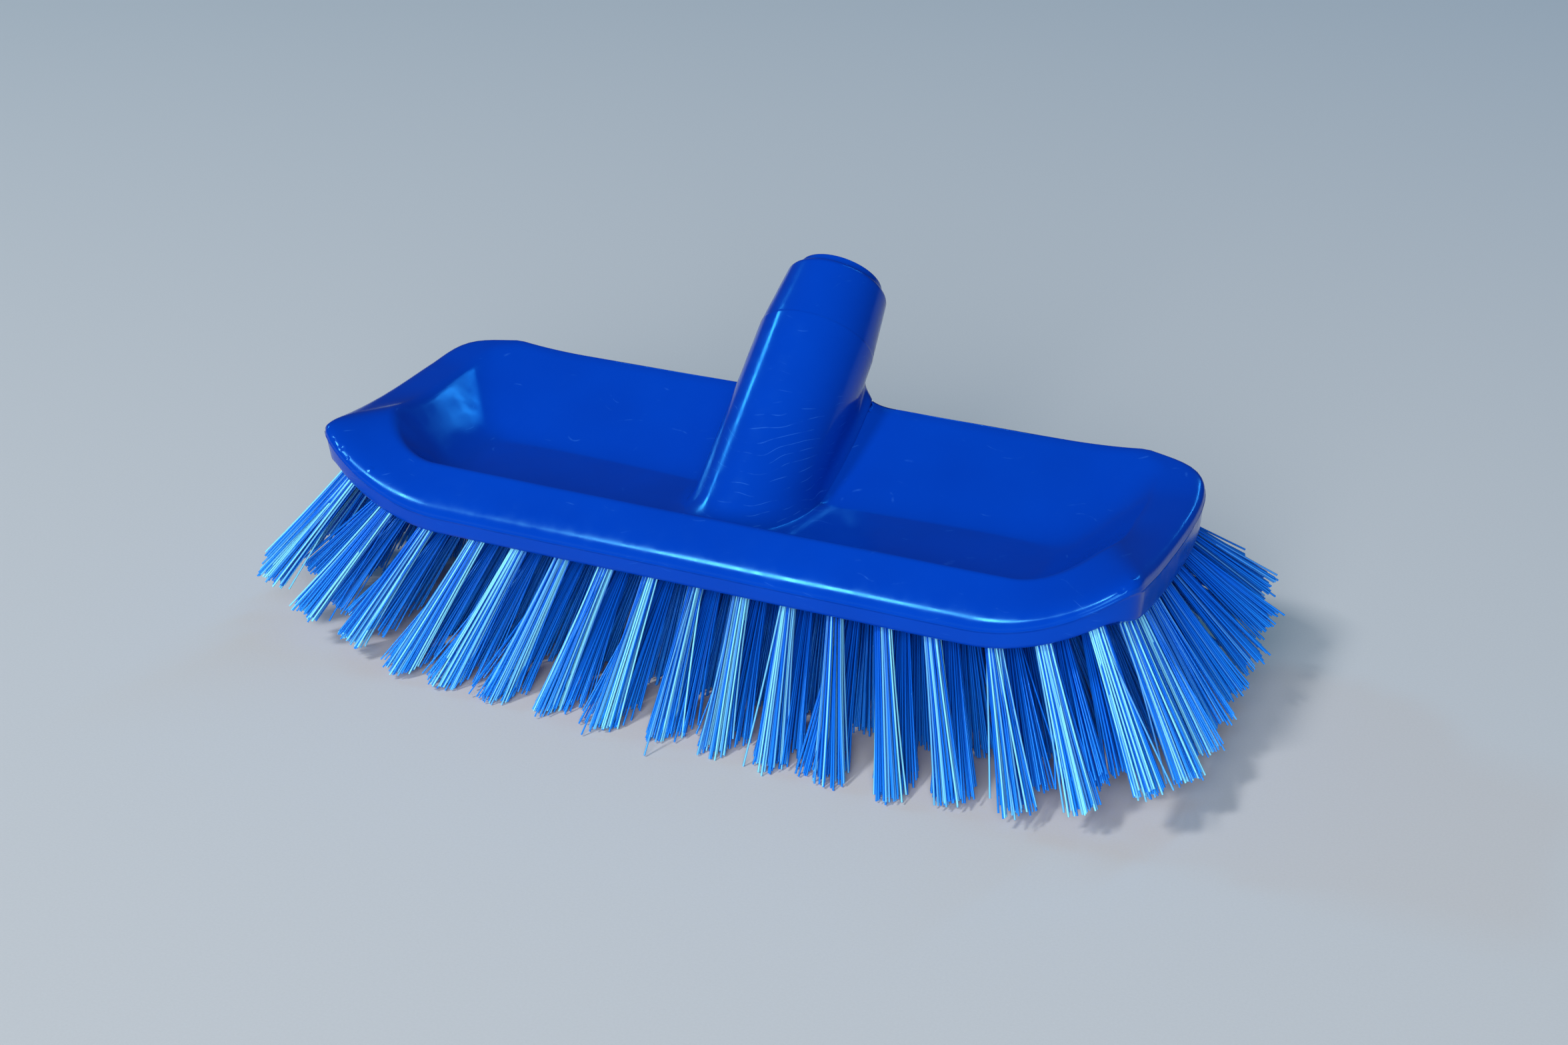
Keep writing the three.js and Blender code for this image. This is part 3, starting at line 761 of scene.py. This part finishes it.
def tuftPlaces(b):
    groups = {"front": [], "back": [], "left_end": [], "right_end": []}
    rows = len(b["endTufts"])
    pitch = (halfDepth - b["firstInset"]) / rows
    column = straightHalf / (b["columnsPerHalf"] - b["columnGap"])
    for row in range(rows + 1):
        inset = b["firstInset"] + row * pitch
        plan = drawnIn(rimPlan, inset, inset, inset, block["leastCorner"])
        right = [i * column for i in range(b["columnsPerHalf"])]
        for x in right + [-x for x in right if x > 0]:
            groups["front"].append((x, plan[1], row))
            if row < rows:
                groups["back"].append((x, plan[2], row))
        if row == rows:
            continue
        places = evenPlaces(1, 2, plan, b["cornerTufts"][row])
        places += evenPlaces(2, 4, plan, b["endTufts"][row])
        backStart = plan[0] - plan[4][0]
        backRun = straightHalf - backStart
        count = b["backTufts"][row]
        places += [(backStart + backRun * (i + 0.5) / count, plan[2]) for i in range(count)]
        groups["right_end"] += [(x, y, row) for x, y in places]
        groups["left_end"] += [(-x, y, row) for x, y in places]
    return groups


# root, bend and tip of every filament of a tuft
def fanOut(b, group, x, y, row, surface, random):
    below = Vector((x, y + block["middleY"], b["lookFrom"])) * mm
    spot = np.array(surface.ray_cast(below, Vector((0, 0, 1)))[0]) / mm
    count = b["perTuft"][row]
    splay = 1 + b["backSplay"] * max(0, y) / halfDepth * abs(x) / rimPlan[0]
    lean = np.array([b["fanAlong"] * splay * x, b["fanAcross"] * b["rowLean"][row] * splay * y, -1])
    lean = unit(lean + np.append(random.normal(0, b["leanScatter"], 2), 0))
    side = unit(np.cross(lean, [0, 1, 0]))
    away = np.cross(lean, side)
    k = np.arange(count)
    # sunflower pattern
    turn = k * math.pi * (3 - math.sqrt(5)) + random.normal(0, b["turnScatter"], count)
    share = np.sqrt((k + 0.5) / count)
    out = (np.cos(turn) * share)[:, None] * side + (np.sin(turn) * share)[:, None] * away
    root = spot + out * (b["rootRadius"] - b["filament"] / 2) - lean * b["sink"]
    reach = b["reach"][group] - b["backShort"] * max(0, y) / halfDepth
    reach = reach + random.normal(0, b["uneven"], count)
    if group == "right_end":
        reach += b["cornerReach"] * smoothStep(-y, 0, b["cornerDepth"])
    spread = random.normal(0, b["scatter"], (count, 2))
    strays = random.random(count) < b["strayShare"]
    spread[strays] = random.normal(0, b["stray"], (strays.sum(), 2))
    tip = spot + lean * reach[:, None] + out * random.uniform(*b["tipRadius"]) * b["rowSpread"][row]
    tip += spread[:, :1] * side + spread[:, 1:] * away
    # trimmed just above the floor, higher towards the ends
    lift = b["trimClear"] + np.abs(random.normal(0, b["uneven"], count))
    lift += b["trimCurve"] * np.maximum(0, np.abs(tip[:, 0]) - b["trimFrom"]) ** 2
    cut = np.minimum(1, (root[:, 2] - lift) / (root[:, 2] - tip[:, 2]))
    tip = root + (tip - root) * cut[:, None]
    middle = root + (tip - root) * 0.5 - out * b["waist"] + random.normal(0, b["bow"], (count, 3))
    # the tone is each filament's share of painted highlight, smaller in the inner rows and towards the back
    tone = b["rowGlint"][row] * (1 - (1 - b["backGlint"]) * smoothStep(y, *b["backGlintFrom"]))
    return root, middle, tip, random.random(count) * tone


# Geometry Nodes: each point becomes a filament bent from its root over its middle to its tip
def filamentTree():
    tree = bpy.data.node_groups.new("filament", "GeometryNodeTree")
    face = tree.interface
    face.new_socket("Geometry", in_out="INPUT", socket_type="NodeSocketGeometry")
    face.new_socket("Diameter", in_out="INPUT", socket_type="NodeSocketFloat")
    face.new_socket("Segments", in_out="INPUT", socket_type="NodeSocketInt")
    face.new_socket("Sides", in_out="INPUT", socket_type="NodeSocketInt")
    face.new_socket("Material", in_out="INPUT", socket_type="NodeSocketMaterial")
    face.new_socket("Geometry", in_out="OUTPUT", socket_type="NodeSocketGeometry")
    given = addNode(tree, "NodeGroupInput").outputs
    points = addNode(tree, "GeometryNodeMeshToPoints", inputs={"Mesh": given["Geometry"]})
    line = addNode(tree, "GeometryNodeCurvePrimitiveLine")
    fine = addNode(tree, "GeometryNodeResampleCurve", inputs={
        "Curve": line.outputs[0], "Count": given["Segments"]})
    placed = addNode(tree, "GeometryNodeInstanceOnPoints", inputs={
        "Points": points.outputs[0], "Instance": fine.outputs[0]})
    real = addNode(tree, "GeometryNodeRealizeInstances", inputs={"Geometry": placed.outputs[0]})
    along = addNode(tree, "GeometryNodeSplineParameter").outputs["Factor"]
    root, middle, tip = [addNode(tree, "GeometryNodeInputNamedAttribute", {"data_type": "FLOAT_VECTOR"}, {
        "Name": name}).outputs[0] for name in ("rootAt", "middleAt", "tipAt")]
    lower = addNode(tree, "ShaderNodeMix", {"data_type": "VECTOR"}, {
        "Factor": along, "A": root, "B": middle})
    upper = addNode(tree, "ShaderNodeMix", {"data_type": "VECTOR"}, {
        "Factor": along, "A": middle, "B": tip})
    curve = addNode(tree, "ShaderNodeMix", {"data_type": "VECTOR"}, {
        "Factor": along, "A": lower.outputs[1], "B": upper.outputs[1]})
    bent = addNode(tree, "GeometryNodeSetPosition", inputs={
        "Geometry": real.outputs[0], "Position": curve.outputs[1]})
    marked = addNode(tree, "GeometryNodeStoreNamedAttribute", {"data_type": "FLOAT", "domain": "POINT"}, {
        "Geometry": bent.outputs[0], "Name": "along", "Value": along})
    radius = addNode(tree, "ShaderNodeMath", {"operation": "MULTIPLY"}, {0: given["Diameter"], 1: 0.5})
    ring = addNode(tree, "GeometryNodeCurvePrimitiveCircle", inputs={
        "Resolution": given["Sides"], "Radius": radius.outputs[0]})
    tube = addNode(tree, "GeometryNodeCurveToMesh", inputs={
        "Curve": marked.outputs[0], "Profile Curve": ring.outputs[0], "Fill Caps": True})
    smooth = addNode(tree, "GeometryNodeSetShadeSmooth", inputs={"Geometry": tube.outputs[0]})
    whole = addNode(tree, "GeometryNodeRealizeInstances", inputs={"Geometry": smooth.outputs[0]})
    done = addNode(tree, "GeometryNodeSetMaterial", inputs={
        "Geometry": whole.outputs[0], "Material": given["Material"]})
    addNode(tree, "NodeGroupOutput", inputs={"Geometry": done.outputs[0]})
    return tree


def setInputs(modifier, values):
    for item in modifier.node_group.interface.items_tree:
        if item.item_type == "SOCKET" and item.in_out == "INPUT" and item.name in values:
            modifier[item.identifier] = values[item.name]


# one point for each filament, carrying where it starts, bends and ends
def filamentPoints(name, fans):
    root, middle, tip, tone = [np.concatenate(column) for column in zip(*fans)]
    mesh = bpy.data.meshes.new(name)
    mesh.from_pydata((root * mm).tolist(), [], [])
    for label, values in (("rootAt", root), ("middleAt", middle), ("tipAt", tip)):
        carried = mesh.attributes.new(label, "FLOAT_VECTOR", "POINT")
        carried.data.foreach_set("vector", (values * mm).ravel())
    # tone carries the share of painted highlight to the material
    mesh.attributes.new("tone", "FLOAT", "POINT").data.foreach_set("value", tone)
    return mesh


def makeBristles(b, surface, material):
    tree = filamentTree()
    random = np.random.default_rng(b["seed"])
    pieces = {}
    for group, places in tuftPlaces(b).items():
        fans = [fanOut(b, group, x, y, row, surface, random) for x, y, row in places]
        holder = newObject(group + "Points", filamentPoints(group + "Points", fans))
        modifier = holder.modifiers.new("filament", "NODES")
        modifier.node_group = tree
        setInputs(modifier, {"Diameter": b["filament"] * mm, "Segments": b["segments"], "Sides": b["sides"],
                             "Material": material})
        evaluated = holder.evaluated_get(bpy.context.evaluated_depsgraph_get())
        mesh = bpy.data.meshes.new_from_object(evaluated)
        holder.modifiers.clear()
        bpy.data.objects.remove(holder)
        mesh.name = group + "Tufts"
        pieces[group] = newObject(group + "Tufts", mesh)
        print("tufts made,", group, len(places), "tufts,", len(mesh.polygons), "faces")
    return pieces


blockTree = BVHTree.FromPolygons([v.co for v in blockMesh.vertices],
                                 [p.vertices for p in blockMesh.polygons])
tufts = makeBristles(bristles, blockTree, bristleMaterial(bristleFinish))


# zinc-coated flat wire: grey, drawn along its length, buried in the block
stapleFinish = {
    "color": "#a9adb1",
    "roughness": 0.32,
    "roughnessRange": (-0.08, 0.12),
    "drawn": 0.25,      # mm between the marks of drawing
}


def stapleMaterial(f):
    material, tree = newMaterial("zincCoatedWire")
    place = addNode(tree, "ShaderNodeTexCoord").outputs["Object"]
    lines = addNode(tree, "ShaderNodeTexNoise", inputs={"Vector": place, "Scale": 1 / (f["drawn"] * mm)})
    smoother, rougher = [f["roughness"] + change for change in f["roughnessRange"]]
    rough = addNode(tree, "ShaderNodeMapRange", inputs={
        "Value": lines.outputs[0], "To Min": smoother, "To Max": rougher})
    shader = addNode(tree, "ShaderNodeBsdfPrincipled", inputs={
        "Base Color": hexColor(f["color"]), "Metallic": 1.0, "Roughness": rough.outputs[0]})
    closeMaterial(tree, shader)
    return material


wire = stapleMaterial(stapleFinish)
for name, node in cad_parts.items():
    if name.startswith("tuft_staple"):
        node.data.materials.clear()
        node.data.materials.append(wire)


# seamless grey paper
floorSet = {
    "color": "#d3d3d3",
    "size": 8.0,                # m
    "grain": 0.7,               # mm
    "grainRange": (0.96, 1.04),
    "roughness": 0.9,
    "specular": 0.2,
}


def makeFloor(f):
    material, tree = newMaterial("paperSweep")
    place = addNode(tree, "ShaderNodeTexCoord").outputs["Object"]
    grain = addNode(tree, "ShaderNodeTexNoise", inputs={
        "Vector": place, "Scale": 1 / (f["grain"] * mm), "Detail": 2.0})
    value = addNode(tree, "ShaderNodeMapRange", inputs={
        "Value": grain.outputs[0], "To Min": f["grainRange"][0], "To Max": f["grainRange"][1]})
    color = addNode(tree, "ShaderNodeHueSaturation", inputs={
        "Value": value.outputs[0], "Color": hexColor(f["color"])})
    shader = addNode(tree, "ShaderNodeBsdfPrincipled", inputs={
        "Base Color": color.outputs[0], "Roughness": f["roughness"], "Specular IOR Level": f["specular"]})
    closeMaterial(tree, shader)
    mesh = bpy.data.meshes.new("paperSweep")
    h = f["size"] / 2
    mesh.from_pydata([(-h, -h, 0), (h, -h, 0), (h, h, 0), (-h, h, 0)], [], [(0, 1, 2, 3)])
    mesh.materials.append(material)
    floor = newObject("paperSweep", mesh)


makeFloor(floorSet)

# studio light, in m and W: a soft box in front, a flat one on the left, a tall strip behind,
# a wide low fill, and a dark room
lights = {
    "front": {"at": (-1.28, -1.88, 2.68), "size": (0.5, 0.5), "power": 50.0, "color": "#ffffff"},
    "left": {"at": (-3.24, 0.72, 1.85), "size": (0.72, 0.2), "power": 18.0, "color": "#54ccff"},
    "behind": {"at": (0.69, 2.25, 2.52), "size": (0.18, 2.1), "power": 20.0, "color": "#48baff"},
    "fill": {"at": (1.2, -4.35, 1.95), "size": (3.1, 3.1), "power": 236.0, "color": "#ffffff"},
}
lampAim = (0, 0, 0.05)
room = {"color": "#b4d0ea", "strength": 0.06}


def makeLights(lampSet, aim, roomSet):
    for name, box in lampSet.items():
        data = bpy.data.lights.new(name, "AREA")
        data.shape = "RECTANGLE"
        data.size, data.size_y = box["size"]
        data.energy = box["power"]
        data.color = hexColor(box["color"])[:3]
        lamp = bpy.data.objects.new(name, data)
        lamp.location = box["at"]
        lamp.rotation_euler = (Vector(box["at"]) - Vector(aim)).to_track_quat("Z", "Y").to_euler()
        bpy.context.scene.collection.objects.link(lamp)
    world = bpy.data.worlds.new("greyRoom")
    world.use_nodes = True
    tree = world.node_tree
    tree.nodes.clear()
    background = addNode(tree, "ShaderNodeBackground", inputs={
        "Color": hexColor(roomSet["color"]), "Strength": roomSet["strength"]})
    addNode(tree, "ShaderNodeOutputWorld", inputs={"Surface": background.outputs[0]})
    bpy.context.scene.world = world


makeLights(lights, lampAim, room)
print("staples, floor and lights made")
bpy.context.scene.view_settings.view_transform = "Standard"

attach(blockPiece, "root")
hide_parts("brush_block")
for group, piece in tufts.items():
    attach(piece, "root")
    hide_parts(group + "_bristles")
